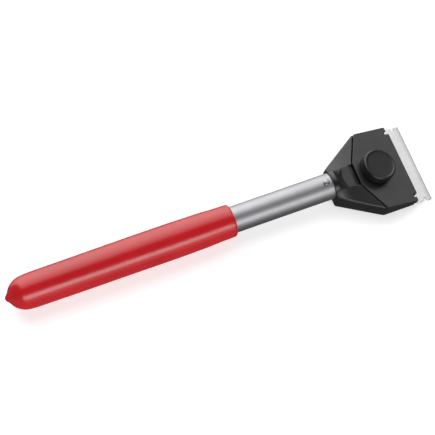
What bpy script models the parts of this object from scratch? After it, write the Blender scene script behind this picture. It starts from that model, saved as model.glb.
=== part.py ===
"""Razor scraper: a riveted tube handle with a slip-on grip, a moulded head,
a clamping plate with a turned knob, and a double-edged blade.

Sizes below are millimetres in two frames. The handle frame has its origin on
the tube's axis at the rear face of the head, +X to the blade, +Y left, +Z up.
The head frame (u, v, w) sits where the knob's axis meets the plate's top and
is pitched nose-down about +Y.
"""
import math

import bmesh
import bpy
from mathutils import Matrix

MM = 0.001

# Where the handle frame stands: the box of the whole tool is centred on X = 0
# and rests on Z = 0.
HANDLE_AT = (93.29, 0.0, 13.5)
HEAD_AT = (37.6, 0.0, 0.7)
PITCH = math.radians(15.0)

GAP = 0.3
STEPS = 48

# Tube
TUBE_R = 10.0
TUBE_WALL = 1.5
TUBE_REAR = -243.7
TUBE_FRONT = 3.0
RIVET_X = -4.5
RIVET_R = 1.5

# Grip: (x, radius) from the drip at the closed end to the front rim
GRIP = [
    (-259.2, 0.0), (-259.0, 1.1), (-258.3, 2.2), (-257.0, 3.4), (-255.6, 5.4),
    (-253.9, 7.8), (-251.3, 9.9), (-248.6, 11.5), (-245.9, 12.4), (-242.0, 12.9),
    (-238.0, 13.12), (-230.0, 13.2), (-215.0, 13.3), (-180.0, 13.45),
    (-150.0, 13.5), (-135.0, 13.5), (-124.0, 13.45), (-113.0, 13.3),
    (-102.0, 13.1), (-91.0, 12.6), (-82.4, 12.35), (-81.0, 12.2),
    (-80.4, 11.8), (-80.2, 11.3),
]
GRIP_BORE_R = TUBE_R + GAP
GRIP_BORE_END = TUBE_REAR - GAP

# Head body
BASE_LOW = -11.4
BASE_HIGH = 16.0
REAR_HALF = 12.3
SIDE_X = 31.7
SIDE_HALF = 32.2
FRONT_X = 56.5
FRONT_LEAN = 3.5 / 6.4
SHOULDER_Z, SHOULDER_FORE, SHOULDER_OUT = 2.1, 0.1196, 0.2005
BOSS_R = 11.3
RIDGE_HALF = (8.9, 9.4)
RIDGE_Z = (6.97, 5.2)
RIDGE_STEP = 0.1
BOSS_LENGTH = 20.6
CROWN = [
    (-4.0, 11.3), (0.0, 11.3), (3.6, 11.3), (4.4, 10.7), (5.2, 10.1),
    (6.4, 9.3), (8.0, 8.5), (10.0, 7.9), (13.0, 7.3), (16.0, 6.7),
    (19.0, 6.0), (22.5, 5.35),
]
SCOOP = [
    (3.5, 14.0), (3.7, 12.0), (4.0, 11.15), (4.6, 10.5), (5.4, 9.8),
    (6.4, 8.95), (7.4, 8.1), (8.4, 7.25), (9.2, 6.65), (10.0, 6.3),
    (11.0, 6.15), (13.0, 6.05), (15.5, 5.85), (16.5, 5.65), (17.5, 5.3),
    (18.5, 4.85), (19.5, 4.3), (20.9, 3.5), (26.0, 2.6),
]
SCOOP_HALF = 8.8
SOCKET_R = TUBE_R + GAP
SOCKET_DEEP = TUBE_FRONT + GAP
SPIGOT_R = TUBE_R - TUBE_WALL - GAP
SPIGOT_REAR = -14.0
SPIGOT_FRONT = 5.0

# Clamping plate, head frame
PLATE_T = 4.0
PLATE_BACK, PLATE_BACK_HALF = -16.4, 9.4
PLATE_SIDE, PLATE_HALF = -4.3, 32.2
PLATE_CORNER = 23.1
TONGUE_HALF, TONGUE = 26.2, 24.6
SLOT_HALF, SLOT_DEEP = 28.6, 21.1
RECESS_GAP = 0.9
FLOOR_W = -PLATE_T - GAP

# Blade, head frame
BLADE_REAR, BLADE_EDGE = 15.5, 37.5
BLADE_HALF = 31.75
BLADE_TOP, BLADE_T = -4.3, 0.6
GRIND = 1.9
NOTCH_W, NOTCH_DEEP, NOTCH_IN = 2.2, 2.3, 4.5
SEAT_U = BLADE_REAR - GAP
SEAT_W = BLADE_TOP - BLADE_T - GAP

# Knob, washer, insert and stud, head frame
STUD_R = 3.0
STUD_TOP = 6.6
HEX_ACROSS = 10.0
HEX_TOP, HEX_LOW = -7.5, -10.3
POCKET_TOP = HEX_TOP + GAP
WASHER_R, WASHER_LOW, WASHER_HIGH = 9.0, 0.3, 1.3
KNOB_R, KNOB_LOW, KNOB_HIGH = 12.85, 1.6, 8.85
INSERT_R, INSERT_LOW, INSERT_HIGH = 4.7, 1.9, 6.9
BORE_HIGH = INSERT_HIGH + GAP


for old in list(bpy.data.objects):
    bpy.data.objects.remove(old, do_unlink=True)

scraper = bpy.data.collections.new("razor_scraper")
cutters = bpy.data.collections.new("cutters")
bpy.context.scene.collection.children.link(scraper)
bpy.context.scene.collection.children.link(cutters)
cutters.hide_render = True


def datum(name, at, pitch=0.0, parent=None):
    """An empty that carries one of the two frames."""
    empty = bpy.data.objects.new(name, None)
    empty.location = [c * MM for c in at]
    empty.rotation_euler = (0.0, pitch, 0.0)
    empty.empty_display_size = 0.01
    empty.parent = parent
    scraper.objects.link(empty)
    return empty


handle = datum("handle_datum", HANDLE_AT)
head = datum("head_datum", HEAD_AT, PITCH, handle)


def finish(name, mesh, parent, cutter, matrix):
    obj = bpy.data.objects.new(name, mesh)
    obj.parent = parent
    if matrix is not None:
        obj.matrix_basis = matrix
    if cutter:
        cutters.objects.link(obj)
        obj.hide_render = True
        obj.display_type = "WIRE"
    else:
        scraper.objects.link(obj)
    return obj


def placed(at=(0.0, 0.0, 0.0), turn=None):
    matrix = Matrix.Translation([c * MM for c in at])
    return matrix if turn is None else matrix @ turn.to_4x4()


# Local X, Y, Z of an outline drawn in the XZ plane, or in the YZ plane
ALONG_MINUS_Y = Matrix(((1, 0, 0), (0, 0, -1), (0, 1, 0)))
TO_X = Matrix.Rotation(math.pi / 2, 3, "Y")


def prism(name, outline, thick, parent, at=(0.0, 0.0, 0.0), turn=None, cutter=False):
    """A flat outline in the local XY plane, extruded from local Z = 0 up to thick.

    It is drawn as a filled 2D curve and then made a mesh, so that it can be cut.
    """
    curve = bpy.data.curves.new(name, "CURVE")
    curve.dimensions = "2D"
    curve.fill_mode = "BOTH"
    curve.extrude = thick / 2 * MM
    spline = curve.splines.new("POLY")
    spline.points.add(len(outline) - 1)
    for point, (x, y) in zip(spline.points, outline):
        point.co = (x * MM, y * MM, 0.0, 1.0)
    spline.use_cyclic_u = True
    drawn = bpy.data.objects.new(name + "_outline", curve)
    cutters.objects.link(drawn)
    bpy.context.view_layer.update()
    mesh = bpy.data.meshes.new_from_object(
        drawn.evaluated_get(bpy.context.evaluated_depsgraph_get())
    )
    bpy.data.objects.remove(drawn, do_unlink=True)
    work = bmesh.new()
    work.from_mesh(mesh)
    bmesh.ops.remove_doubles(work, verts=work.verts, dist=1e-6)
    bmesh.ops.dissolve_limit(
        work, angle_limit=math.radians(0.5), verts=work.verts, edges=work.edges
    )
    bmesh.ops.recalc_face_normals(work, faces=work.faces)
    bmesh.ops.translate(work, verts=work.verts, vec=(0.0, 0.0, thick / 2 * MM))
    work.to_mesh(mesh)
    work.free()
    mesh.name = name
    return finish(name, mesh, parent, cutter, placed(at, turn))


def turned(name, profile, parent, at=(0.0, 0.0, 0.0), turn=None, ring=False, steps=STEPS, cutter=False):
    """A (radius, height) profile turned about the local Z axis."""
    mesh = bpy.data.meshes.new(name)
    count = len(profile)
    edges = [(i, i + 1) for i in range(count - 1)]
    if ring:
        edges.append((count - 1, 0))
    mesh.from_pydata([(r * MM, 0.0, h * MM) for r, h in profile], edges, [])
    obj = finish(name, mesh, parent, cutter, placed(at, turn))
    screw = obj.modifiers.new("turned", "SCREW")
    screw.axis = "Z"
    screw.angle = math.tau
    screw.steps = screw.render_steps = steps
    screw.use_merge_vertices = True
    screw.merge_threshold = 1e-5
    screw.use_smooth_shade = not cutter
    return obj


def loft(name, sections, parent, cutter=True):
    """Closed sections of equal count joined in order, with flat ends."""
    count = len(sections[0])
    verts = [(x * MM, y * MM, z * MM) for section in sections for x, y, z in section]
    faces = []
    for s in range(len(sections) - 1):
        a, b = s * count, (s + 1) * count
        for i in range(count):
            j = (i + 1) % count
            faces.append((a + i, a + j, b + j, b + i))
    faces.append(tuple(range(count)))
    faces.append(tuple(range((len(sections) - 1) * count, len(sections) * count)))
    mesh = bpy.data.meshes.new(name)
    mesh.from_pydata(verts, [], faces)
    work = bmesh.new()
    work.from_mesh(mesh)
    bmesh.ops.recalc_face_normals(work, faces=work.faces)
    work.to_mesh(mesh)
    work.free()
    return finish(name, mesh, parent, cutter, None)


def boolean(target, tool, operation="DIFFERENCE"):
    step = target.modifiers.new(tool.name, "BOOLEAN")
    step.operation = operation
    step.solver = "EXACT"
    step.object = tool


def rounded_edges(target, width, segments=2, angle=35.0):
    bevel = target.modifiers.new("rounded edges", "BEVEL")
    bevel.width = width * MM
    bevel.segments = segments
    bevel.limit_method = "ANGLE"
    bevel.angle_limit = math.radians(angle)
    bevel.harden_normals = False


def material(target, name, colour, rough, metal=0.0):
    made = bpy.data.materials.new(name)
    made.use_nodes = True
    shader = made.node_tree.nodes["Principled BSDF"]
    shader.inputs["Base Color"].default_value = (*colour, 1.0)
    shader.inputs["Roughness"].default_value = rough
    shader.inputs["Metallic"].default_value = metal
    target.data.materials.append(made)


def table(rows, x):
    """The rows' value at x, on straight lines between them."""
    for (x0, y0), (x1, y1) in zip(rows, rows[1:]):
        if x <= x1:
            return y0 + (y1 - y0) * (x - x0) / (x1 - x0)
    return rows[-1][1]


# ---------------------------------------------------------------- handle tube
inner = TUBE_R - TUBE_WALL
tube = turned(
    "handle_tube",
    [
        (TUBE_R - 0.3, TUBE_FRONT), (TUBE_R, TUBE_FRONT - 0.3),
        (TUBE_R, TUBE_REAR + 0.3), (TUBE_R - 0.3, TUBE_REAR),
        (inner, TUBE_REAR), (inner, TUBE_FRONT),
    ],
    handle, turn=TO_X, ring=True,
)
rivet_bore = turned(
    "rivet_bore", [(0, 15), (RIVET_R + GAP, 15), (RIVET_R + GAP, -15), (0, -15)],
    handle, at=(RIVET_X, 0, 0), steps=24, cutter=True,
)
boolean(tube, rivet_bore)
material(tube, "tube_metal", (0.62, 0.62, 0.64), 0.3, 1.0)

# ---------------------------------------------------------------- grip sleeve
front_rim = GRIP[-1][0]
grip_profile = [(r, x) for x, r in reversed(GRIP)]
grip = turned(
    "grip_sleeve",
    grip_profile
    + [(0.0, GRIP_BORE_END), (GRIP_BORE_R, GRIP_BORE_END), (GRIP_BORE_R, front_rim)],
    handle, turn=TO_X, ring=True,
)
material(grip, "grip_vinyl", (0.55, 0.012, 0.018), 0.25)

# ------------------------------------------------------------------ head body
body = prism(
    "head_body",
    [
        (-3.0, -REAR_HALF), (0.0, -REAR_HALF), (SIDE_X, -SIDE_HALF), (64.0, -SIDE_HALF),
        (64.0, SIDE_HALF), (SIDE_X, SIDE_HALF), (0.0, REAR_HALF), (-3.0, REAR_HALF),
    ],
    BASE_HIGH - BASE_LOW, handle, at=(0, 0, BASE_LOW),
)


def ridge_at(x):
    """Half width and height of the boss's ridges."""
    share = min(max(x, 0.0), BOSS_LENGTH) / BOSS_LENGTH
    return (
        RIDGE_HALF[0] + (RIDGE_HALF[1] - RIDGE_HALF[0]) * share,
        RIDGE_Z[0] + (RIDGE_Z[1] - RIDGE_Z[0]) * share,
    )


def side_wall(x):
    """Half width of the head over its side walls."""
    return REAR_HALF + (SIDE_HALF - REAR_HALF) * min(max(x, 0.0), SIDE_X) / SIDE_X


def shoulder(x, y):
    return SHOULDER_Z + SHOULDER_FORE * x - SHOULDER_OUT * (abs(y) - REAR_HALF)


def shoulder_section(x):
    """The shoulders run straight from each ridge down to the side wall."""
    half, ridge = ridge_at(x)
    wall = side_wall(x)
    crest = ridge - RIDGE_STEP if x < BOSS_LENGTH else shoulder(x, half)
    right = [(x, -45.0, shoulder(x, 45.0)), (x, -wall, shoulder(x, wall)), (x, -half, crest)]
    left = [(a, -b, c) for a, b, c in reversed(right)]
    return right + left + [(x, 45.0, 40.0), (x, -45.0, 40.0)]


above_shoulders = loft(
    "above_shoulders",
    [shoulder_section(x) for x in (-10.0, 0.0, 2.5, 5.0, 8.0, 11.5, 16.0, BOSS_LENGTH, 80.0)],
    handle,
)
boolean(body, above_shoulders)


def boss_section(x):
    """The rounded socket housing, which falls away to the plate's rear edge."""
    half, ridge = ridge_at(x)
    rise = table(CROWN, x) - ridge
    radius = (half * half + rise * rise) / (2.0 * rise)
    reach = math.asin(half / radius)
    arch = []
    count = 18
    for i in range(count + 1):
        a = reach * (1.0 - 2.0 * i / count)
        arch.append((x, radius * math.sin(a), ridge + rise - radius + radius * math.cos(a)))
    return [(x, half, -5.0)] + arch + [(x, -half, -5.0)]


boss = loft("boss", [boss_section(x) for x, _ in CROWN], handle)
boolean(body, boss, "UNION")

behind = prism(
    "behind", [(-12.0, -25.0), (0.0, -25.0), (0.0, 25.0), (-12.0, 25.0)], 60.0,
    handle, at=(0, 0, -30), cutter=True,
)
boolean(body, behind)

ahead = prism(
    "ahead",
    [
        (FRONT_X - 8.6 * FRONT_LEAN, BASE_LOW - 8.6), (FRONT_X + 41.4 * FRONT_LEAN, BASE_LOW + 41.4),
        (95.0, 40.0), (95.0, BASE_LOW - 8.6),
    ],
    90.0, handle, at=(0, 45, 0), turn=ALONG_MINUS_Y, cutter=True,
)
boolean(body, ahead)

scoop = prism(
    "scoop", SCOOP + [(26.0, 20.0), (3.5, 20.0)], 2 * SCOOP_HALF,
    handle, at=(0, SCOOP_HALF, 0), turn=ALONG_MINUS_Y, cutter=True,
)
boolean(body, scoop)

# The recess follows the plate's rear edges at a distance.
run_u, run_v = PLATE_SIDE - PLATE_BACK, PLATE_HALF - PLATE_BACK_HALF
run = math.hypot(run_u, run_v)
along = (run_u / run, run_v / run)
start = (PLATE_BACK - RECESS_GAP * along[1], PLATE_BACK_HALF + RECESS_GAP * along[0])


def on_diagonal(v):
    return start[0] + (v - start[1]) * along[0] / along[1]


back_u = PLATE_BACK - RECESS_GAP
back_v = start[1] + (back_u - start[0]) * along[1] / along[0]
recess = prism(
    "recess",
    [
        (back_u, -back_v), (on_diagonal(40.0), -40.0), (20.0, -40.0),
        (20.0, 40.0), (on_diagonal(40.0), 40.0), (back_u, back_v),
    ],
    30.0, head, at=(0, 0, FLOOR_W), cutter=True,
)
boolean(body, recess)
seat = prism(
    "seat", [(SEAT_U, -42.0), (60.0, -42.0), (60.0, 42.0), (SEAT_U, 42.0)], 32.0,
    head, at=(0, 0, SEAT_W), cutter=True,
)
boolean(body, seat)

socket = turned(
    "socket", [(0, SOCKET_DEEP), (SOCKET_R, SOCKET_DEEP), (SOCKET_R, -3.0), (0, -3.0)],
    handle, turn=TO_X, cutter=True,
)
boolean(body, socket)
spigot = turned(
    "spigot",
    [
        (0, SPIGOT_FRONT), (SPIGOT_R, SPIGOT_FRONT), (SPIGOT_R, SPIGOT_REAR + 1.0),
        (SPIGOT_R - 0.8, SPIGOT_REAR), (0, SPIGOT_REAR),
    ],
    handle, turn=TO_X, cutter=True,
)
boolean(body, spigot, "UNION")
boolean(body, rivet_bore)

stud_bore = turned(
    "stud_bore",
    [(0, 4.0), (STUD_R + GAP, 4.0), (STUD_R + GAP, -25.0), (0, -25.0)],
    head, cutter=True, steps=32,
)
boolean(body, stud_bore)


def hexagon(across):
    r = across / 2.0 / math.cos(math.pi / 6)
    return [
        (r * math.cos(math.radians(60 * i + 30)), r * math.sin(math.radians(60 * i + 30)))
        for i in range(6)
    ]


pocket = prism(
    "pocket", hexagon(HEX_ACROSS + 2 * GAP), 20.0, head, at=(0, 0, POCKET_TOP - 20.0), cutter=True
)
boolean(body, pocket)
material(body, "head_moulding", (0.018, 0.018, 0.02), 0.4)

# --------------------------------------------------------------- handle rivet
rivet = turned(
    "handle_rivet",
    [
        (0.0, 11.5), (0.9, 11.42), (1.7, 11.15), (2.25, 10.7), (2.4, 10.3),
        (RIVET_R, 10.3), (RIVET_R, -10.3), (2.3, -10.3), (2.15, -10.75),
        (1.5, -11.05), (0.0, -11.15),
    ],
    handle, at=(RIVET_X, 0, 0), steps=32,
)
material(rivet, "rivet_metal", (0.6, 0.6, 0.6), 0.3, 1.0)

# ----------------------------------------------------------------- clamp stud
stud = turned(
    "clamp_stud",
    [
        (0.0, STUD_TOP), (STUD_R - 0.5, STUD_TOP), (STUD_R, STUD_TOP - 0.6),
        (STUD_R, HEX_TOP - 1.0), (0.0, HEX_TOP - 1.0),
    ],
    head, steps=32,
)
hexhead = prism(
    "hex_head", hexagon(HEX_ACROSS), HEX_TOP - HEX_LOW, head, at=(0, 0, HEX_LOW), cutter=True
)
boolean(stud, hexhead, "UNION")
material(stud, "stud_metal", (0.5, 0.5, 0.5), 0.35, 1.0)

# ---------------------------------------------------------------- clamp plate
right_half = [
    (PLATE_BACK, -PLATE_BACK_HALF), (PLATE_SIDE, -PLATE_HALF), (PLATE_CORNER, -PLATE_HALF),
    (PLATE_CORNER, -SLOT_HALF), (SLOT_DEEP, -SLOT_HALF), (SLOT_DEEP, -TONGUE_HALF),
    (TONGUE, -TONGUE_HALF),
]
plate = prism(
    "clamp_plate",
    right_half + [(u, -v) for u, v in reversed(right_half)],
    PLATE_T, head, at=(0, 0, -PLATE_T),
)
rounded_edges(plate, 0.4)
plate_bore = turned(
    "plate_bore", [(0, 4.0), (STUD_R + 0.4, 4.0), (STUD_R + 0.4, -8.0), (0, -8.0)],
    head, cutter=True, steps=32,
)
boolean(plate, plate_bore)
material(plate, "plate_moulding", (0.016, 0.016, 0.018), 0.42)

# ------------------------------------------------- washer, knob and its insert
washer = turned(
    "knob_washer",
    [
        (WASHER_R, WASHER_HIGH), (WASHER_R, WASHER_LOW),
        (STUD_R + 0.4, WASHER_LOW), (STUD_R + 0.4, WASHER_HIGH),
    ],
    head, ring=True,
)
material(washer, "washer_metal", (0.5, 0.5, 0.5), 0.35, 1.0)

knob = turned(
    "clamp_knob",
    [
        (0.0, 8.2), (5.0, 8.2), (9.0, 8.22), (10.3, 8.3), (10.9, 8.55),
        (11.5, KNOB_HIGH), (12.15, KNOB_HIGH - 0.05), (12.6, 8.55), (KNOB_R, 8.1),
        (KNOB_R, 2.5), (12.65, 1.9), (12.2, KNOB_LOW),
        (INSERT_R + GAP, KNOB_LOW), (INSERT_R + GAP, BORE_HIGH), (0.0, BORE_HIGH),
    ],
    head, steps=64,
)
material(knob, "knob_moulding", (0.014, 0.014, 0.015), 0.38)

insert = turned(
    "knob_insert",
    [
        (INSERT_R, INSERT_HIGH), (INSERT_R, INSERT_LOW),
        (STUD_R + GAP, INSERT_LOW), (STUD_R + GAP, INSERT_HIGH),
    ],
    head, ring=True, steps=36,
)
material(insert, "insert_brass", (0.72, 0.5, 0.2), 0.35, 1.0)

# ---------------------------------------------------------------------- blade
mid = BLADE_TOP - BLADE_T / 2
low = BLADE_TOP - BLADE_T
blade = prism(
    "blade",
    [
        (BLADE_REAR, mid), (BLADE_REAR + GRIND, low), (BLADE_EDGE - GRIND, low),
        (BLADE_EDGE, mid), (BLADE_EDGE - GRIND, BLADE_TOP), (BLADE_REAR + GRIND, BLADE_TOP),
    ],
    2 * BLADE_HALF, head, at=(0, BLADE_HALF, 0), turn=ALONG_MINUS_Y,
)
for side, v in (("left", BLADE_HALF), ("right", -BLADE_HALF)):
    for end, u in (
        ("front", BLADE_EDGE - NOTCH_IN - NOTCH_W / 2),
        ("rear", BLADE_REAR + NOTCH_IN + NOTCH_W / 2),
    ):
        tool = prism(
            f"notch_{side}_{end}",
            [
                (u - NOTCH_W / 2, v - NOTCH_DEEP), (u + NOTCH_W / 2, v - NOTCH_DEEP),
                (u + NOTCH_W / 2, v + NOTCH_DEEP), (u - NOTCH_W / 2, v + NOTCH_DEEP),
            ],
            4.0, head, at=(0, 0, mid - 2.0), cutter=True,
        )
        boolean(blade, tool)
material(blade, "blade_steel", (0.7, 0.7, 0.72), 0.22, 1.0)

bpy.context.view_layer.update()
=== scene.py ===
"""Looks of the razor scraper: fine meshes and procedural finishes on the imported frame.

Sizes are millimetres in the same two frames as the CAD source. The handle frame
has its origin on the tube's axis at the rear face of the head, +X to the blade,
+Y left, +Z up. The head frame (u, v, w) sits where the knob's axis meets the
plate's top and is pitched nose-down about +Y.
"""
import math

import bmesh
import bpy
import numpy as np
from mathutils import Matrix, Vector


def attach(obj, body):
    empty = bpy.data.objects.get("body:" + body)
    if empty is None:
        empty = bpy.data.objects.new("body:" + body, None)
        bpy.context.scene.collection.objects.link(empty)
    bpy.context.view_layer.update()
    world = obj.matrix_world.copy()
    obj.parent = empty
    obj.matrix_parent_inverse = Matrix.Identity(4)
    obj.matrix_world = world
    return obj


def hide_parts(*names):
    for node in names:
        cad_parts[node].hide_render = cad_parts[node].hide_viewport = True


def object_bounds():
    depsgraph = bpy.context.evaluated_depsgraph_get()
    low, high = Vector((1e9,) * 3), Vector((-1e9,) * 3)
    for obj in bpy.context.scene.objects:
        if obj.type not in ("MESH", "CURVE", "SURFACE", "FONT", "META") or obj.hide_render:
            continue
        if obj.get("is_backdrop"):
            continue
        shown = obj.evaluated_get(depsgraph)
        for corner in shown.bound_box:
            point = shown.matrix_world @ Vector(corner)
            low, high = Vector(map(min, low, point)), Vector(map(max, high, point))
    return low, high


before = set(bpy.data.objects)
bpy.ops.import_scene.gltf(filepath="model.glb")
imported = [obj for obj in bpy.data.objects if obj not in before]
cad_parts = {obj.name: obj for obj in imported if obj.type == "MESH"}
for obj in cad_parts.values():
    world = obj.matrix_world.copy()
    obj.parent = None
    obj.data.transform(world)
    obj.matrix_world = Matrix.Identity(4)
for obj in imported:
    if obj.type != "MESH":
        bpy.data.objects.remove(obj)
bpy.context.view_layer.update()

MM = 0.001
HANDLE_AT = (93.29, 0.0, 13.5)
HEAD_AT = (37.6, 0.0, 0.7)
PITCH = math.radians(15.0)
GAP = 0.3

HANDLE = Matrix.Translation([c * MM for c in HANDLE_AT])
HEAD = HANDLE @ Matrix.Translation([c * MM for c in HEAD_AT]) @ Matrix.Rotation(PITCH, 4, "Y")
TO_X = Matrix.Rotation(math.pi / 2, 4, "Y")
ALONG_MINUS_Y = Matrix(((1, 0, 0, 0), (0, 0, -1, 0), (0, 1, 0, 0), (0, 0, 0, 1)))


# ------------------------------------------------------------------- meshes
def piece(name, verts, faces, place, body, node, slot, smooth=True):
    """A mesh in millimetres, in its own frame, that stands for one CAD node."""
    mesh = bpy.data.meshes.new(name)
    mesh.from_pydata([tuple(c * MM for c in v) for v in verts], [], faces)
    mesh.update()
    obj = bpy.data.objects.new(name, mesh)
    bpy.context.scene.collection.objects.link(obj)
    obj.matrix_world = place
    work = bmesh.new()
    work.from_mesh(mesh)
    bmesh.ops.recalc_face_normals(work, faces=work.faces)
    work.to_mesh(mesh)
    work.free()
    mesh.polygons.foreach_set("use_smooth", [smooth] * len(mesh.polygons))
    if body:
        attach(obj, body)
        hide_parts(node)
    return obj


def revolved(profile, around, radius=None):
    """Vertices and faces of a (radius, height) profile turned about local Z.

    radius(r, h, a) may change the radius from place to place. A profile that
    starts or ends at radius 0 closes in one point there; any other is a ring.
    """
    verts, rings = [], []
    for r, h in profile:
        if r <= 1e-6:
            rings.append([len(verts)])
            verts.append((0.0, 0.0, h))
            continue
        rings.append(list(range(len(verts), len(verts) + around)))
        for i in range(around):
            a = math.tau * i / around
            q = r if radius is None else radius(r, h, a)
            verts.append((q * math.cos(a), q * math.sin(a), h))
    pairs = list(zip(rings, rings[1:]))
    if len(rings[0]) > 1 and len(rings[-1]) > 1:
        pairs.append((rings[-1], rings[0]))
    faces = []
    for low, high in pairs:
        for i in range(around):
            j = (i + 1) % around
            if len(low) == 1 and len(high) == 1:
                break
            if len(low) == 1:
                faces.append((low[0], high[j], high[i]))
            elif len(high) == 1:
                faces.append((low[i], low[j], high[0]))
            else:
                faces.append((low[i], low[j], high[j], high[i]))
    return verts, faces


def curve_through(points, step):
    """Points on a smooth curve through a few (a, b) points, about step apart."""
    p = np.array(points, float)
    chord = np.hypot(*np.diff(p, axis=0).T)
    slope = np.diff(p, axis=0) / chord[:, None]
    tangent = np.vstack([slope[:1], (slope[1:] + slope[:-1]) / 2, slope[-1:]])
    tangent /= np.hypot(*tangent.T)[:, None]
    out = [tuple(p[0])]
    for i, length in enumerate(chord):
        count = max(1, int(round(length / step)))
        for k in range(1, count + 1):
            t = k / count
            a = (1 + 2 * t) * (1 - t) ** 2 * p[i] + t * (1 - t) ** 2 * length * tangent[i]
            b = t * t * (3 - 2 * t) * p[i + 1] + t * t * (t - 1) * length * tangent[i + 1]
            out.append(tuple(a + b))
    return out


def rounded(corners, radius, steps=4, closed=True):
    """An outline with its corners rounded; radius is one number or one for each corner."""
    count = len(corners)
    radii = radius if isinstance(radius, (list, tuple)) else [radius] * count
    out = []
    for i, (corner, r) in enumerate(zip(corners, radii)):
        at = Vector(corner)
        if r <= 0 or (not closed and i in (0, count - 1)):
            out.append(tuple(at))
            continue
        back = (Vector(corners[i - 1]) - at).normalized()
        on = (Vector(corners[(i + 1) % count]) - at).normalized()
        half = back.angle(on) / 2
        reach = r / math.tan(half)
        centre = at + (back + on).normalized() * (r / math.sin(half))
        first, last = at + back * reach - centre, at + on * reach - centre
        turn = math.atan2(first.x * last.y - first.y * last.x, first.dot(last))
        for k in range(steps + 1):
            a = turn * k / steps
            out.append(
                (
                    centre.x + first.x * math.cos(a) - first.y * math.sin(a),
                    centre.y + first.x * math.sin(a) + first.y * math.cos(a),
                )
            )
    return out


def slab(outline, low, high):
    """Vertices and faces of a flat outline raised from low to high."""
    count = len(outline)
    verts = [(x, y, low) for x, y in outline] + [(x, y, high) for x, y in outline]
    faces = [tuple(range(count)), tuple(range(count, 2 * count))]
    faces += [(i, (i + 1) % count, count + (i + 1) % count, count + i) for i in range(count)]
    return verts, faces


def helper(name, verts, faces, place):
    """A cutter, which is never shown."""
    obj = piece(name, verts, faces, place, None, None, None, smooth=False)
    obj.hide_render = True
    obj.hide_viewport = True
    return obj


def cut(obj, *tools):
    """Cuts the tools out of a piece and removes them."""
    for tool in tools:
        step = obj.modifiers.new(tool.name, "BOOLEAN")
        step.operation = "DIFFERENCE"
        step.solver = "EXACT"
        step.object = tool
    settle(obj)
    obj.data.set_sharp_from_angle(angle=math.radians(40.0))
    for tool in tools:
        bpy.data.objects.remove(tool, do_unlink=True)


def settle(obj):
    """Applies a piece's modifiers."""
    bpy.context.view_layer.update()
    shown = obj.evaluated_get(bpy.context.evaluated_depsgraph_get())
    mesh = bpy.data.meshes.new_from_object(shown)
    obj.modifiers.clear()
    obj.data = mesh


# ------------------------------------------------- surface of a sampled solid
CORNERS = [(0, 0, 0), (1, 0, 0), (0, 1, 0), (1, 1, 0), (0, 0, 1), (1, 0, 1), (0, 1, 1), (1, 1, 1)]
EDGES = [(0, 1), (2, 3), (4, 5), (6, 7), (0, 2), (1, 3), (4, 6), (5, 7), (0, 4), (1, 5), (2, 6), (3, 7)]


def net(field, low, step):
    """Vertices and quads where a sampled field crosses zero; it is negative inside."""
    inside = field < 0.0
    cells = tuple(n - 1 for n in field.shape)
    count = np.zeros(cells, np.int8)
    for a, b, c in CORNERS:
        count += inside[a : a + cells[0], b : b + cells[1], c : c + cells[2]]
    mixed = (count > 0) & (count < 8)
    where = np.argwhere(mixed)
    number = np.full(cells, -1, np.int32)
    number[mixed] = np.arange(len(where))
    values = [field[where[:, 0] + a, where[:, 1] + b, where[:, 2] + c] for a, b, c in CORNERS]
    total, hits = np.zeros((len(where), 3)), np.zeros(len(where))
    corners = np.array(CORNERS, float)
    for a, b in EDGES:
        va, vb = values[a], values[b]
        crossed = (va < 0.0) != (vb < 0.0)
        t = np.where(crossed, va / np.where(crossed, va - vb, 1.0), 0.0)
        total += (corners[a] + np.outer(t, corners[b] - corners[a])) * crossed[:, None]
        hits += crossed
    verts = (where + total / hits[:, None]) * step + np.array(low)
    quads = []
    for axis in range(3):
        one, two = (axis + 1) % 3, (axis + 2) % 3
        near = np.take(inside, range(field.shape[axis] - 1), axis)
        far = np.take(inside, range(1, field.shape[axis]), axis)
        at = np.argwhere(near != far)
        at = at[(at[:, one] > 0) & (at[:, two] > 0) & (at[:, one] < cells[one]) & (at[:, two] < cells[two])]
        e1, e2 = np.eye(3, dtype=int)[one], np.eye(3, dtype=int)[two]
        ring = [number[tuple(c.T)] for c in (at - e1 - e2, at - e2, at, at - e1)]
        quad = np.stack(ring, 1)
        back = ~near[tuple(at.T)]
        quad[back] = quad[back][:, ::-1]
        quads.append(quad)
    return verts, np.vstack(quads)


def meet(a, b, r):
    """The part inside both, with an outer edge of radius r."""
    return np.minimum(-r, np.maximum(a, b)) + np.hypot(np.maximum(r + a, 0), np.maximum(r + b, 0))


def join(a, b, r):
    """The part inside either, with an inner fillet of radius r."""
    return np.maximum(r, np.minimum(a, b)) - np.hypot(np.maximum(r - a, 0), np.maximum(r - b, 0))


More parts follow.
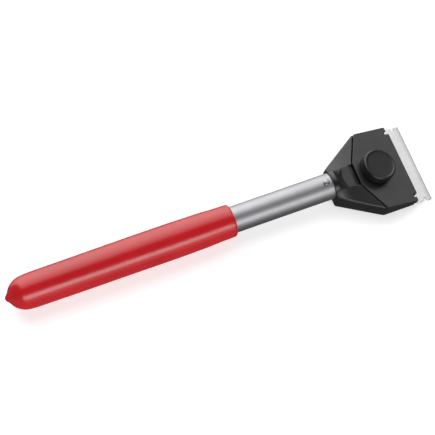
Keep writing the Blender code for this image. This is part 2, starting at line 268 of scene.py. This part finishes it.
# --------------------------------------------------------------- node graphs
class Graph:
    """A material's nodes. Coordinates are the piece's own, in millimetres."""

    def __init__(self, name):
        self.made = bpy.data.materials.new(name)
        self.made.use_nodes = True
        self.tree = self.made.node_tree
        self.shader = self.tree.nodes["Principled BSDF"]
        self.object = self.node("ShaderNodeTexCoord").outputs["Object"]
        scaled = self.node("ShaderNodeVectorMath", operation="SCALE")
        self.link(self.object, scaled.inputs[0])
        scaled.inputs["Scale"].default_value = 1000.0
        self.mm = scaled.outputs[0]

    def node(self, kind, **fields):
        made = self.tree.nodes.new(kind)
        for key, value in fields.items():
            setattr(made, key, value)
        return made

    def link(self, out, into):
        self.tree.links.new(out, into)

    def feed(self, value, into):
        if isinstance(value, bpy.types.NodeSocket):
            self.link(value, into)
        else:
            into.default_value = value

    def math(self, operation, a, b=0.0, c=0.0, clamp=False):
        made = self.node("ShaderNodeMath", operation=operation, use_clamp=clamp)
        for value, into in zip((a, b, c), made.inputs):
            self.feed(value, into)
        return made.outputs[0]

    def axes(self, vector=None):
        parts = self.node("ShaderNodeSeparateXYZ")
        self.link(vector or self.mm, parts.inputs[0])
        return parts.outputs

    def stretched(self, x, y, z, vector=None):
        made = self.node("ShaderNodeVectorMath", operation="MULTIPLY")
        self.link(vector or self.mm, made.inputs[0])
        made.inputs[1].default_value = (x, y, z)
        return made.outputs[0]

    def noise(self, size, detail=2.0, vector=None, rough=0.5, distortion=0.0):
        """Noise whose features are about size millimetres across, from 0 to 1."""
        made = self.node("ShaderNodeTexNoise")
        self.link(vector or self.mm, made.inputs["Vector"])
        made.inputs["Scale"].default_value = 1.0 / size
        made.inputs["Detail"].default_value = detail
        made.inputs["Roughness"].default_value = rough
        made.inputs["Distortion"].default_value = distortion
        return made.outputs["Fac"]

    def cells(self, size, feature="F1", vector=None, randomness=1.0):
        made = self.node("ShaderNodeTexVoronoi", feature=feature)
        self.link(vector or self.mm, made.inputs["Vector"])
        made.inputs["Scale"].default_value = 1.0 / size
        made.inputs["Randomness"].default_value = randomness
        return made.outputs["Distance"]

    def spread(self, value, low, high, out_low=0.0, out_high=1.0):
        """A value mapped from one range to another, held at its ends."""
        made = self.node("ShaderNodeMapRange")
        self.link(value, made.inputs["Value"])
        for key, number in (("From Min", low), ("From Max", high), ("To Min", out_low), ("To Max", out_high)):
            self.feed(number, made.inputs[key])
        return made.outputs["Result"]

    def blend(self, factor, a, b):
        """A colour between a and b."""
        made = self.node("ShaderNodeMix", data_type="RGBA")
        self.feed(factor, made.inputs["Factor"])
        self.feed(a if isinstance(a, bpy.types.NodeSocket) else (*a, 1.0), made.inputs["A"])
        self.feed(b if isinstance(b, bpy.types.NodeSocket) else (*b, 1.0), made.inputs["B"])
        return made.outputs["Result"]

    def bump(self, *layers):
        """Relief from (height 0 to 1, depth in millimetres) layers, one over the other."""
        normal = None
        for height, depth in layers:
            made = self.node("ShaderNodeBump")
            made.inputs["Strength"].default_value = 1.0
            made.inputs["Distance"].default_value = depth * MM
            self.link(height, made.inputs["Height"])
            if normal is not None:
                self.link(normal, made.inputs["Normal"])
            normal = made.outputs["Normal"]
        self.link(normal, self.shader.inputs["Normal"])

    def set(self, **values):
        for key, value in values.items():
            into = self.shader.inputs[key.replace("_", " ")]
            self.feed(value, into)
        return self

    def onto(self, *objects):
        for obj in objects:
            obj.data.materials.clear()
            obj.data.materials.append(self.made)


# --------------------------------------------------------------- handle tube
TUBE_R, TUBE_WALL = 10.0, 1.5
TUBE_REAR, TUBE_FRONT = -243.7, 3.0
RIVET_X, RIVET_R = -4.5, 1.5
inner = TUBE_R - TUBE_WALL
# rings close behind and ahead of the rivet hole keep its rim's shading to itself
rings = [RIVET_X + 2.6, RIVET_X - 2.6] + [RIVET_X - 12.0 * k for k in range(1, 20)]
tube_profile = rounded(
    [(inner, TUBE_FRONT), (TUBE_R, TUBE_FRONT)] + [(TUBE_R, h) for h in rings]
    + [(TUBE_R, TUBE_REAR), (inner, TUBE_REAR)] + [(inner, h) for h in reversed(rings)],
    [0.2, 0.35] + [0.0] * len(rings) + [0.35, 0.2] + [0.0] * len(rings),
)
tube = piece("steel_tube", *revolved(tube_profile, 192), HANDLE @ TO_X, "handle", "handle_tube", "tube_metal")
cut(
    tube,
    helper(
        "rivet_hole", *revolved([(0, 14), (RIVET_R + GAP, 14), (RIVET_R + GAP, -14), (0, -14)], 48),
        HANDLE @ Matrix.Translation((RIVET_X * MM, 0, 0)),
    ),
)

# --------------------------------------------------------------- grip sleeve
GRIP = [
    (-259.2, 0.0), (-259.0, 1.1), (-258.3, 2.2), (-257.0, 3.4), (-255.6, 5.4),
    (-253.9, 7.8), (-251.3, 9.9), (-248.6, 11.5), (-245.9, 12.4), (-242.0, 12.9),
    (-238.0, 13.12), (-230.0, 13.2), (-215.0, 13.3), (-180.0, 13.45),
    (-150.0, 13.5), (-135.0, 13.5), (-124.0, 13.45), (-113.0, 13.3),
    (-102.0, 13.1), (-91.0, 12.6), (-82.4, 12.35), (-81.0, 12.2),
    (-80.4, 11.8), (-80.2, 11.3),
]
BORE_R, BORE_END = TUBE_R + GAP, TUBE_REAR - GAP
outside = curve_through([(r, x) for x, r in GRIP], 0.9)
front = GRIP[-1][0]
inside_wall = rounded([(GRIP[-1][1] - 0.2, front), (BORE_R, front), (BORE_R, BORE_END), (0.0, BORE_END)], [0, 0.3, 0.8, 0], closed=False)


def hand_dipped(r, x, a):
    """The sleeve's wall is not quite even: long shallow waves, faded out at both ends."""
    if r <= BORE_R + 0.02:
        return r
    fade = min(1.0, max(0.0, (front - 2.0 - x) / 12.0)) * min(1.0, max(0.0, (x + 256.0) / 14.0))
    wave = math.sin(x / 17.0 + 1.3 * math.sin(a)) * math.cos(a * 2.0 + x / 41.0)
    return r - fade * 0.06 * (1.0 + wave)


grip = piece("vinyl_grip", *revolved(outside + inside_wall, 160, hand_dipped), HANDLE @ TO_X, "handle", "grip_sleeve", "grip_vinyl")

# ----------------------------------------------------------------- head body
BASE_LOW = -11.4
REAR_HALF, SIDE_X, SIDE_HALF = 12.3, 31.7, 32.2
FRONT_X, FRONT_LEAN = 56.5, 3.5 / 6.4
SHOULDER_Z, SHOULDER_FORE, SHOULDER_OUT = 2.1, 0.1196, 0.2005
RIDGE_HALF, RIDGE_Z = (8.9, 9.4), (6.97, 5.2)
RIDGE_STEP = 0.1
BOSS_LENGTH = 20.6
CROWN = [
    (-4.0, 11.3), (0.0, 11.3), (3.6, 11.3), (4.4, 10.7), (5.2, 10.1),
    (6.4, 9.3), (8.0, 8.5), (10.0, 7.9), (13.0, 7.3), (16.0, 6.7),
    (19.0, 6.0), (22.5, 5.35),
]
SCOOP = [
    (3.5, 14.0), (3.7, 12.0), (4.0, 11.15), (4.6, 10.5), (5.4, 9.8),
    (6.4, 8.95), (7.4, 8.1), (8.4, 7.25), (9.2, 6.65), (10.0, 6.3),
    (11.0, 6.15), (13.0, 6.05), (15.5, 5.85), (16.5, 5.65), (17.5, 5.3),
    (18.5, 4.85), (19.5, 4.3), (20.9, 3.5), (26.0, 2.6),
]
SCOOP_HALF = 8.8
SOCKET_DEEP = TUBE_FRONT + GAP
SPIGOT_R, SPIGOT_REAR = inner - GAP, -14.0
PLATE_T = 4.0
PLATE_BACK, PLATE_BACK_HALF = -16.4, 9.4
PLATE_SIDE, PLATE_HALF = -4.3, 32.2
PLATE_CORNER = 23.1
TONGUE_HALF, TONGUE = 26.2, 24.6
SLOT_HALF, SLOT_DEEP = 28.6, 21.1
RECESS_GAP = 0.9
FLOOR_W = -PLATE_T - GAP
BLADE_REAR, BLADE_EDGE, BLADE_HALF = 15.5, 37.5, 31.75
BLADE_TOP, BLADE_T = -4.3, 0.6
SEAT_U, SEAT_W = BLADE_REAR - GAP, BLADE_TOP - BLADE_T - GAP
STUD_R, STUD_TOP = 3.0, 6.6
HEX_ACROSS, HEX_TOP, HEX_LOW = 10.0, -7.5, -10.3

STEP = 0.32
low = np.array([SPIGOT_REAR - 1.0, -33.5, BASE_LOW - 0.9])
high = np.array([61.0, 33.5, 12.6])
counts = np.ceil((high - low) / STEP).astype(int) + 1
x, y, z = (low[i] + STEP * np.arange(counts[i]) for i in range(3))
x, y, z = x[:, None, None], np.abs(y - (y[0] + y[-1]) / 2.0)[None, :, None], z[None, None, :]
low[1] = -STEP * (counts[1] - 1) / 2.0
u = (x - HEAD_AT[0]) * math.cos(PITCH) - (z - HEAD_AT[2]) * math.sin(PITCH)
w = (x - HEAD_AT[0]) * math.sin(PITCH) + (z - HEAD_AT[2]) * math.cos(PITCH)


def through(a, b, first, second):
    """Distance outside the line from first to second, to the right of its run."""
    (a0, b0), (a1, b1) = first, second
    run = math.hypot(a1 - a0, b1 - b0)
    return ((b1 - b0) * (a - a0) - (a1 - a0) * (b - b0)) / run


def table(rows, at):
    return np.interp(at, [r[0] for r in rows], [r[1] for r in rows])


def shoulder_plane(x, y):
    return SHOULDER_Z + SHOULDER_FORE * x - SHOULDER_OUT * (y - REAR_HALF)


share = np.clip(x, 0.0, BOSS_LENGTH) / BOSS_LENGTH
ridge_half = RIDGE_HALF[0] + (RIDGE_HALF[1] - RIDGE_HALF[0]) * share
ridge = RIDGE_Z[0] + (RIDGE_Z[1] - RIDGE_Z[0]) * share
# the shoulders run straight from each ridge down to the side wall
side_wall = REAR_HALF + (SIDE_HALF - REAR_HALF) * np.clip(x, 0.0, SIDE_X) / SIDE_X
crest = np.where(x < BOSS_LENGTH, ridge - RIDGE_STEP, shoulder_plane(x, ridge_half))
fall = (crest - shoulder_plane(x, side_wall)) / (side_wall - ridge_half)
shoulder = np.where(y > side_wall, shoulder_plane(x, y), crest - fall * np.clip(y - ridge_half, 0.0, None))
top = (z - shoulder) / np.sqrt(1 + SHOULDER_FORE**2 + fall**2)

rise = table(CROWN, x) - ridge
arch_r = (ridge_half**2 + rise**2) / (2 * rise)
arch = np.hypot(y, z - (ridge + rise - arch_r)) - arch_r
arch = np.where(z < ridge + rise - arch_r, y - arch_r, arch)
boss = meet(arch, y - ridge_half, 0.05)
solid = join(top, boss, 0.12)
# the scoop behind the plate
deeper = x - 0.04 * y**2 * np.clip((17.0 - x) / 8.0, 0.0, 1.0)
slope = np.gradient(table(SCOOP, x[:, 0, 0]), STEP)[:, None, None]
scoop = meet((table(SCOOP, deeper) - z) / np.sqrt(1 + slope**2), y - SCOOP_HALF, 0.8)
solid = meet(solid, -scoop, 0.22)
# outline of the head
solid = meet(solid, through(x, y, (0.0, REAR_HALF), (SIDE_X, SIDE_HALF)) * -1.0, 1.6)
solid = meet(solid, y - SIDE_HALF, 0.7)
solid = meet(solid, -x, 0.6)
solid = meet(solid, BASE_LOW - z, 0.7)
lean = math.hypot(1.0, FRONT_LEAN)
solid = meet(solid, ((x - FRONT_X) - FRONT_LEAN * (z - BASE_LOW)) / lean, 0.5)
# recess for the plate, whose edges it follows at a distance
diagonal = through(u, y, (PLATE_BACK, PLATE_BACK_HALF), (PLATE_SIDE, PLATE_HALF)) * -1.0
recess = meet(PLATE_BACK - RECESS_GAP - u, diagonal - RECESS_GAP, 0.8)
recess = meet(recess, FLOOR_W - w, 0.3)
solid = meet(solid, -recess, 0.3)
seat = meet(SEAT_U - u, SEAT_W - w, 0.15)
solid = meet(solid, -seat, 0.2)
# socket and spigot for the tube
across = np.hypot(y, z)
solid = meet(solid, -meet(across - BORE_R, x - SOCKET_DEEP, 0.2), 0.35)
spigot = meet(meet(across - SPIGOT_R, SPIGOT_REAR - x, 0.8), x - 6.0, 0.1)
solid = join(solid, spigot, 0.1)
solid = meet(solid, -(np.hypot(x - RIVET_X, y) - RIVET_R - GAP), 0.1)
# stud bore and the pocket for the stud's head
solid = meet(solid, -(np.hypot(u, y) - STUD_R - GAP), 0.25)
flat = (HEX_ACROSS + 2 * GAP) / 2.0
hexagon = np.maximum(np.abs(u) - flat, np.abs(u) * 0.5 + y * math.cos(math.pi / 6) - flat)
solid = meet(solid, -meet(hexagon, w - HEX_TOP - GAP, 0.1), 0.3)

verts, quads = net(solid, low, STEP)
head = piece("moulded_head", verts.tolist(), quads.tolist(), HANDLE, "handle", "head_body", "head_moulding")
print("head faces", len(quads))

# -------------------------------------------------------------- handle rivet
rivet_profile = (
    [(2.4 * math.sin(math.radians(a)), 10.6 + 0.9 * math.cos(math.radians(a))) for a in range(0, 85, 6)]
    + [(2.4, 10.45), (2.25, 10.32), (RIVET_R, 10.3), (RIVET_R, -10.3), (2.3, -10.32)]
    + [(2.3 * math.cos(math.radians(a)), -10.35 - 0.8 * math.sin(math.radians(a))) for a in range(6, 91, 7)]
)
rivet_profile[-1] = (0.0, -11.15)
rivet = piece(
    "domed_rivet", *revolved(rivet_profile, 96), HANDLE @ Matrix.Translation((RIVET_X * MM, 0, 0)),
    "handle", "handle_rivet", "rivet_metal",
)

# --------------------------------------------------------------- clamp plate
right_half = [
    (PLATE_BACK, -PLATE_BACK_HALF), (PLATE_SIDE, -PLATE_HALF), (PLATE_CORNER, -PLATE_HALF),
    (PLATE_CORNER, -SLOT_HALF), (SLOT_DEEP, -SLOT_HALF), (SLOT_DEEP, -TONGUE_HALF),
    (TONGUE, -TONGUE_HALF),
]
radii = [1.2, 1.2, 0.9, 0.5, 0.5, 0.5, 0.9]
outline = rounded(right_half + [(a, -b) for a, b in reversed(right_half)], radii + radii[::-1], 6)


def drawn_in(points, distance):
    """A closed outline, counterclockwise, moved inwards by a distance."""
    count = len(points)
    out = []
    for i in range(count):
        before = (Vector(points[i]) - Vector(points[i - 1])).normalized()
        after = (Vector(points[(i + 1) % count]) - Vector(points[i])).normalized()
        inward = (Vector((-before.y, before.x)) + Vector((-after.y, after.x))).normalized()
        reach = distance / max(0.5, inward.dot(Vector((-after.y, after.x))))
        out.append(tuple(Vector(points[i]) + inward * reach))
    return out


def cushioned(outline, bore, low, high, edge, steps=4, around=72):
    """A flat solid with rounded edges and a round bore: vertices and faces."""
    levels = []
    for k in range(steps + 1):
        a = math.pi / 2 * k / steps
        levels.append((edge * (1 - math.sin(a)), low + edge * (1 - math.cos(a))))
    levels += [(d, low + high - h) for d, h in reversed(levels)]
    verts, faces = [], []
    count = len(outline)
    for d, h in levels:
        verts += [(a, b, h) for a, b in drawn_in(outline, d)]
    for k in range(len(levels) - 1):
        for i in range(count):
            j = (i + 1) % count
            faces.append((k * count + i, k * count + j, (k + 1) * count + j, (k + 1) * count + i))
    start = len(verts)
    wall = [(bore + 0.25, low), (bore, low + 0.25), (bore, high - 0.25), (bore + 0.25, high)]
    for r, h in wall:
        verts += [(r * math.cos(math.tau * i / around), r * math.sin(math.tau * i / around), h) for i in range(around)]
    for k in range(len(wall) - 1):
        for i in range(around):
            j = (i + 1) % around
            faces.append((start + k * around + j, start + k * around + i, start + (k + 1) * around + i, start + (k + 1) * around + j))
    for outer, inner_ring in ((0, start), ((len(levels) - 1) * count, start + (len(wall) - 1) * around)):
        work = bmesh.new()
        ring = [work.verts.new(verts[outer + i]) for i in range(count)]
        hole = [work.verts.new(verts[inner_ring + i]) for i in range(around)]
        number = {v: n for v, n in zip(ring + hole, list(range(outer, outer + count)) + list(range(inner_ring, inner_ring + around)))}
        rims = [work.edges.new((loop[i], loop[(i + 1) % len(loop)])) for loop in (ring, hole) for i in range(len(loop))]
        bmesh.ops.triangle_fill(work, use_beauty=True, use_dissolve=False, edges=rims)
        faces += [tuple(number[v] for v in f.verts) for f in work.faces]
        work.free()
    return verts, faces


if sum(a[0] * b[1] - b[0] * a[1] for a, b in zip(outline, outline[1:] + outline[:1])) < 0:
    outline.reverse()
plate = piece("pressure_plate", *cushioned(outline, STUD_R + 0.4, -PLATE_T, 0.0, 0.45), HEAD, "plate", "clamp_plate", "plate_moulding")
even = plate.modifiers.new("flat faces stay flat", "WEIGHTED_NORMAL")
even.keep_sharp = False

# --------------------------------------------- washer, knob, insert and stud
washer = piece(
    "flat_washer",
    *revolved(rounded([(STUD_R + 0.4, 0.3), (9.0, 0.3), (9.0, 1.3), (STUD_R + 0.4, 1.3)], [0.08, 0.1, 0.25, 0.12], 3), 128),
    HEAD, "washer", "knob_washer", "washer_metal",
)

KNOB_R, KNOB_LOW, KNOB_HIGH = 12.85, 1.6, 8.85
INSERT_R, INSERT_LOW, INSERT_HIGH = 4.7, 1.9, 6.9
face = curve_through(
    [
        (0.0, 7.92), (4.0, 7.95), (8.0, 8.05), (9.7, 8.15), (10.3, 8.3), (10.8, 8.62),
        (11.35, KNOB_HIGH - 0.02), (11.8, KNOB_HIGH - 0.02), (12.35, 8.6), (12.72, 8.15), (KNOB_R, 7.4),
    ],
    0.25,
)
knob_profile = face + rounded(
    [(KNOB_R, 7.0), (KNOB_R, KNOB_LOW), (INSERT_R + GAP, KNOB_LOW), (INSERT_R + GAP, INSERT_HIGH + GAP), (0.0, INSERT_HIGH + GAP)],
    [0, 0.7, 0.3, 0.2, 0], closed=False,
)
knob = piece("round_knob", *revolved(knob_profile, 192), HEAD, "knob", "clamp_knob", "knob_moulding")


def knurled(r, h, a):
    """A straight knurl round the insert's outside."""
    if r < INSERT_R - 0.05:
        return r
    return r - 0.16 * (0.5 - 0.5 * math.cos(36 * a))


insert_profile = rounded(
    [(STUD_R + GAP, INSERT_LOW), (INSERT_R, INSERT_LOW), (INSERT_R, INSERT_HIGH), (STUD_R + GAP, INSERT_HIGH)],
    [0.25, 0.3, 0.3, 0.25], 3,
)
insert = piece("brass_insert", *revolved(insert_profile, 288, knurled), HEAD, "knob", "knob_insert", "insert_brass")

THREAD_PITCH, THREAD_DEEP = 1.0, 0.45


def threaded(r, h, a):
    """A right-hand thread above the stud's plain shank, fading out at both ends."""
    if h < -3.2 or h > STUD_TOP - 0.2 or r < STUD_R - 0.02:
        return r
    fade = min(1.0, (h + 3.2) / 1.0) * min(1.0, (STUD_TOP - 0.2 - h) / 0.5)
    turn = (h / THREAD_PITCH - a / math.tau) % 1.0
    return r - THREAD_DEEP * fade * min(1.0, max(0.0, 1.25 - abs(turn - 0.5) * 2.9))


shank = [(STUD_R, STUD_TOP - 0.5 - 0.1 * k) for k in range(int((STUD_TOP + 2.8) / 0.1))]
stud_verts, stud_faces = revolved(
    [(0.0, STUD_TOP), (STUD_R - 0.55, STUD_TOP), (STUD_R - 0.4, STUD_TOP - 0.05), (STUD_R - 0.05, STUD_TOP - 0.42)]
    + shank + [(STUD_R, HEX_TOP + 0.3), (STUD_R + 0.25, HEX_TOP - 0.02), (STUD_R + 0.25, HEX_TOP - 1.2), (0.0, HEX_TOP - 1.2)],
    96, threaded,
)
stud = piece("hex_stud", stud_verts, stud_faces, HEAD, "handle", "clamp_stud", "stud_metal")
hex_r = HEX_ACROSS / 2.0 / math.cos(math.pi / 6)
sides = [(hex_r * math.cos(math.radians(60 * i + 30)), hex_r * math.sin(math.radians(60 * i + 30))) for i in range(6)]
hex_head = helper("hex_part", *slab(rounded(sides, 0.25, 3), HEX_LOW, HEX_TOP), HEAD)
chamfer = helper(
    "hex_chamfer",
    *revolved([(8.0, HEX_LOW - 1.0), (4.6, HEX_LOW - 1.0), (4.6, HEX_LOW), (hex_r + 0.1, HEX_LOW + 0.62), (8.0, HEX_LOW + 0.62)], 96),
    HEAD,
)
hex_head.hide_viewport = False
cut(hex_head, chamfer)
union = stud.modifiers.new("hex head", "BOOLEAN")
union.operation, union.solver, union.object = "UNION", "EXACT", hex_head
settle(stud)
bpy.data.objects.remove(hex_head, do_unlink=True)

# --------------------------------------------------------------------- blade
GRIND = 1.9
NOTCH_W, NOTCH_DEEP, NOTCH_IN = 2.2, 2.3, 4.5
mid, under = BLADE_TOP - BLADE_T / 2, BLADE_TOP - BLADE_T
EDGE_T = 0.04
section = [
    (BLADE_REAR, mid - EDGE_T / 2), (BLADE_REAR + GRIND, under), (BLADE_EDGE - GRIND, under),
    (BLADE_EDGE, mid - EDGE_T / 2), (BLADE_EDGE, mid + EDGE_T / 2), (BLADE_EDGE - GRIND, BLADE_TOP),
    (BLADE_REAR + GRIND, BLADE_TOP), (BLADE_REAR, mid + EDGE_T / 2),
]
blade = piece(
    "ground_blade", *slab(section, 0.0, 2 * BLADE_HALF), HEAD @ Matrix.Translation((0, BLADE_HALF * MM, 0)) @ ALONG_MINUS_Y,
    "blade", "blade", "blade_steel", smooth=False,
)
notches = []
for v in (BLADE_HALF, -BLADE_HALF):
    for at in (BLADE_EDGE - NOTCH_IN - NOTCH_W / 2, BLADE_REAR + NOTCH_IN + NOTCH_W / 2):
        shape = rounded(
            [(at - NOTCH_W / 2, v - NOTCH_DEEP), (at + NOTCH_W / 2, v - NOTCH_DEEP), (at + NOTCH_W / 2, v + NOTCH_DEEP), (at - NOTCH_W / 2, v + NOTCH_DEEP)],
            0.4, 4,
        )
        notches.append(helper("notch", *slab(shape, mid - 2.0, mid + 2.0), HEAD))
cut(blade, *notches)

# ----------------------------------------------------------------- materials
g = Graph("satin_steel")
long_lines = g.noise(1.0, 3.0, g.stretched(2.2, 2.2, 0.05))
speck = g.noise(0.5, 2.0)
cloud = g.noise(14.0, 2.0)
g.set(
    Base_Color=g.blend(g.spread(cloud, 0.3, 0.7), (0.35, 0.35, 0.36), (0.325, 0.325, 0.335)),
    Metallic=1.0,
    Roughness=g.spread(g.math("ADD", long_lines, speck), 0.7, 1.3, 0.45, 0.52),
)
g.bump((long_lines, 0.0012), (speck, 0.0015))
g.onto(tube)

g = Graph("glossy_vinyl")
waves = g.noise(9.0, 1.0, g.stretched(1.0, 1.0, 0.35))
peel = g.noise(8.0, 1.0)
g.set(
    Base_Color=g.blend(g.spread(g.noise(30.0, 2.0), 0.35, 0.65), (0.44, 0.0045, 0.0085), (0.49, 0.0055, 0.0105)),
    Roughness=g.spread(peel, 0.35, 0.65, 0.235, 0.27),
    IOR=1.56,
)
g.bump((waves, 0.06))
g.onto(grip)


def moulded(name, colour, rough, ior, grain=0.24, deep=0.007, collar=None, dish=None):
    """Black moulded plastic with a fine spark-eroded texture.

    collar is the roughness round the tube, where hands polish it, and dish that inside a knob's rim.
    """
    g = Graph(name)
    pits = g.cells(grain)
    fine = g.noise(grain * 0.6, 2.0)
    cloud = g.noise(7.0, 3.0)
    light = tuple(c * 1.25 for c in colour)
    uneven = g.spread(g.math("ADD", fine, cloud), 0.7, 1.3, rough - 0.04, rough + 0.05)
    if collar is not None:
        along, across, up = g.axes()
        far = g.math("MULTIPLY", g.spread(along, 4.6, 3.4), g.spread(up, 5.6, 7.2))
        uneven = g.math("ADD", uneven, g.math("MULTIPLY", far, collar - rough))
    if dish is not None:
        along, across, up = g.axes()
        away = g.math("SQRT", g.math("ADD", g.math("MULTIPLY", along, along), g.math("MULTIPLY", across, across)))
        within = g.math("MULTIPLY", g.spread(away, 10.9, 10.3), g.spread(up, 7.3, 7.7))
        uneven = g.math("ADD", uneven, g.math("MULTIPLY", within, dish - rough))
    g.set(
        Base_Color=g.blend(g.spread(cloud, 0.3, 0.7), colour, light),
        Roughness=uneven,
        IOR=ior,
    )
    g.bump((pits, deep), (fine, deep * 0.5))
    return g


moulded("head_plastic", (0.007, 0.0067, 0.0073), 0.42, 1.5, collar=0.30).onto(head)
moulded("plate_plastic", (0.007, 0.0067, 0.0073), 0.40, 1.56).onto(plate)
moulded("knob_plastic", (0.0075, 0.0066, 0.0062), 0.27, 1.47, 0.22, 0.005, dish=0.68).onto(knob)

g = Graph("ground_steel")
lines = g.noise(0.4, 2.0, g.stretched(1.0, 1.0, 3.0))
streaks = g.math("MULTIPLY", g.math("ADD", g.noise(9.0, 2.0), g.noise(2.2, 3.0, g.stretched(0.12, 0.12, 1.0))), 0.5)
g.set(
    Base_Color=g.blend(g.spread(streaks, 0.38, 0.62), (0.49, 0.49, 0.495), (0.535, 0.535, 0.54)),
    Metallic=1.0,
    Roughness=g.spread(lines, 0.3, 0.7, 0.30, 0.40),
)
g.bump((lines, 0.0015))
g.onto(blade)

g = Graph("plated_rivet")
g.set(
    Base_Color=g.blend(g.spread(g.noise(1.2, 2.0), 0.3, 0.7), (0.33, 0.33, 0.34), (0.28, 0.28, 0.29)),
    Metallic=1.0,
    Roughness=g.spread(g.noise(0.6, 2.0), 0.3, 0.7, 0.30, 0.42),
)
g.bump((g.noise(0.9, 2.0), 0.02))
g.onto(rivet)

g = Graph("plated_stud")
g.set(
    Base_Color=g.blend(g.spread(g.noise(2.0, 2.0), 0.3, 0.7), (0.46, 0.45, 0.42), (0.4, 0.4, 0.4)),
    Metallic=1.0,
    Roughness=g.spread(g.noise(0.7, 2.0), 0.3, 0.7, 0.28, 0.42),
)
g.bump((g.noise(0.5, 2.0), 0.008))
g.onto(stud)

g = Graph("plated_washer")
g.set(
    Base_Color=g.blend(g.spread(g.noise(2.5, 2.0), 0.3, 0.7), (0.5, 0.5, 0.5), (0.42, 0.42, 0.42)),
    Metallic=1.0,
    Roughness=g.spread(g.noise(0.5, 3.0), 0.3, 0.7, 0.26, 0.4),
)
g.bump((g.noise(0.4, 3.0), 0.008))
g.onto(washer)

g = Graph("turned_brass")
turned_lines = g.noise(0.15, 1.0, g.stretched(0.05, 0.05, 1.0))
g.set(
    Base_Color=g.blend(g.spread(g.noise(3.0, 2.0), 0.3, 0.7), (0.68, 0.47, 0.18), (0.6, 0.4, 0.14)),
    Metallic=1.0,
    Roughness=g.spread(turned_lines, 0.3, 0.7, 0.24, 0.36),
)
g.bump((turned_lines, 0.006))
g.onto(insert)

# --------------------------------------------------------------------- stage
floor_mesh = bpy.data.meshes.new("floor")
floor_mesh.from_pydata([(-6, -6, 0), (6, -6, 0), (6, 6, 0), (-6, 6, 0)], [], [(0, 1, 2, 3)])
floor = bpy.data.objects.new("floor", floor_mesh)
floor.location.z = -0.0001
bpy.context.scene.collection.objects.link(floor)
floor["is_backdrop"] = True
floor.visible_glossy = False
g = Graph("pale_floor")
g.set(Base_Color=g.blend(g.noise(400.0), (0.86, 0.86, 0.86), (0.88, 0.88, 0.88)), Roughness=0.9)
g.set(Specular_IOR_Level=0.1, Emission_Color=(1.0, 1.0, 1.0, 1.0), Emission_Strength=0.40)
g.made.cycles.emission_sampling = "NONE"
g.onto(floor)


def softbox(name, direction, distance, size, radiance, up=(1.0, 0.0, 0.0)):
    """A flat rectangular light of even radiance that faces the tool; up is the way its first side runs."""
    light = bpy.data.lights.new(name, "AREA")
    light.shape = "RECTANGLE"
    light.size, light.size_y = size
    light.energy = radiance * math.pi * size[0] * size[1]
    towards = Vector(direction).normalized()
    side = (Vector(up) - towards * Vector(up).dot(towards)).normalized()
    turn = Matrix((side, towards.cross(side), towards)).transposed().to_4x4()
    obj = bpy.data.objects.new(name, light)
    obj.matrix_world = Matrix.Translation(towards * distance + Vector((0.05, 0, 0))) @ turn
    bpy.context.scene.collection.objects.link(obj)
    return obj


def left_glow(angle):
    """Radiance of the light wall on the left, by its angle above the floor in degrees."""
    return 1.05 + 1.9 * max(0.0, math.cos(math.radians((angle - 28.0) * 1.9)))


# a curved wall of light on the left, from just under the floor's level to nearly overhead
PANELS, WALL_LOW, WALL_HIGH, WALL_R = 9, -28.0, 80.0, 1.75
reach = (WALL_HIGH - WALL_LOW) / PANELS
for k in range(PANELS):
    angle = WALL_LOW + reach * (k + 0.5)
    tilt = math.radians(angle)
    softbox(
        "left_wall_%d" % k, (0.0, math.cos(tilt), math.sin(tilt)), WALL_R,
        (2.3, 2.0 * WALL_R * math.tan(math.radians(reach / 2.0))), left_glow(angle),
    )
# a wide box ahead of the blade and above it, and one long soft strip on the right
softbox("front_top", (1.36, 0.59, 1.12), 1.8, (0.8, 0.9), 1.8)
softbox("right_strip", (-0.13, -0.84, 0.54), 1.7, (2.0, 0.75), 4.7)
softbox("right_low", (0.05, -0.99, 0.12), 1.7, (2.4, 0.6), 0.6)

world = bpy.data.worlds.new("studio")
world.use_nodes = True
bpy.context.scene.world = world
tree = world.node_tree
tree.nodes.clear()
path = tree.nodes.new("ShaderNodeLightPath")
dim = tree.nodes.new("ShaderNodeBackground")
dim.inputs["Color"].default_value = (1.0, 1.0, 1.0, 1.0)
dim.inputs["Strength"].default_value = 0.12
pale = tree.nodes.new("ShaderNodeBackground")
pale.inputs["Color"].default_value = (0.94, 0.94, 0.94, 1.0)
pale.inputs["Strength"].default_value = 1.0
either = tree.nodes.new("ShaderNodeMixShader")
out = tree.nodes.new("ShaderNodeOutputWorld")
tree.links.new(path.outputs["Is Camera Ray"], either.inputs[0])
tree.links.new(dim.outputs[0], either.inputs[1])
tree.links.new(pale.outputs[0], either.inputs[2])
tree.links.new(either.outputs[0], out.inputs["Surface"])

camera_data = bpy.data.cameras.new("camera")
camera_data.lens = 240.0
camera_data.sensor_width = 36.0
camera_data.clip_start, camera_data.clip_end = 0.1, 20.0
camera = bpy.data.objects.new("camera", camera_data)
right = Vector((0.9148, -0.3892, 0.1080)).normalized()
back = Vector((-0.2481, -0.3304, 0.9107))
back = (back - right * back.dot(right)).normalized()
camera.matrix_world = Matrix.Translation((-0.5262, -0.7006, 1.9604)) @ Matrix((right, back.cross(right), back)).transposed().to_4x4()
bpy.context.scene.collection.objects.link(camera)
bpy.context.scene.camera = camera
bpy.context.scene.view_settings.view_transform = "Standard"

low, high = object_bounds()
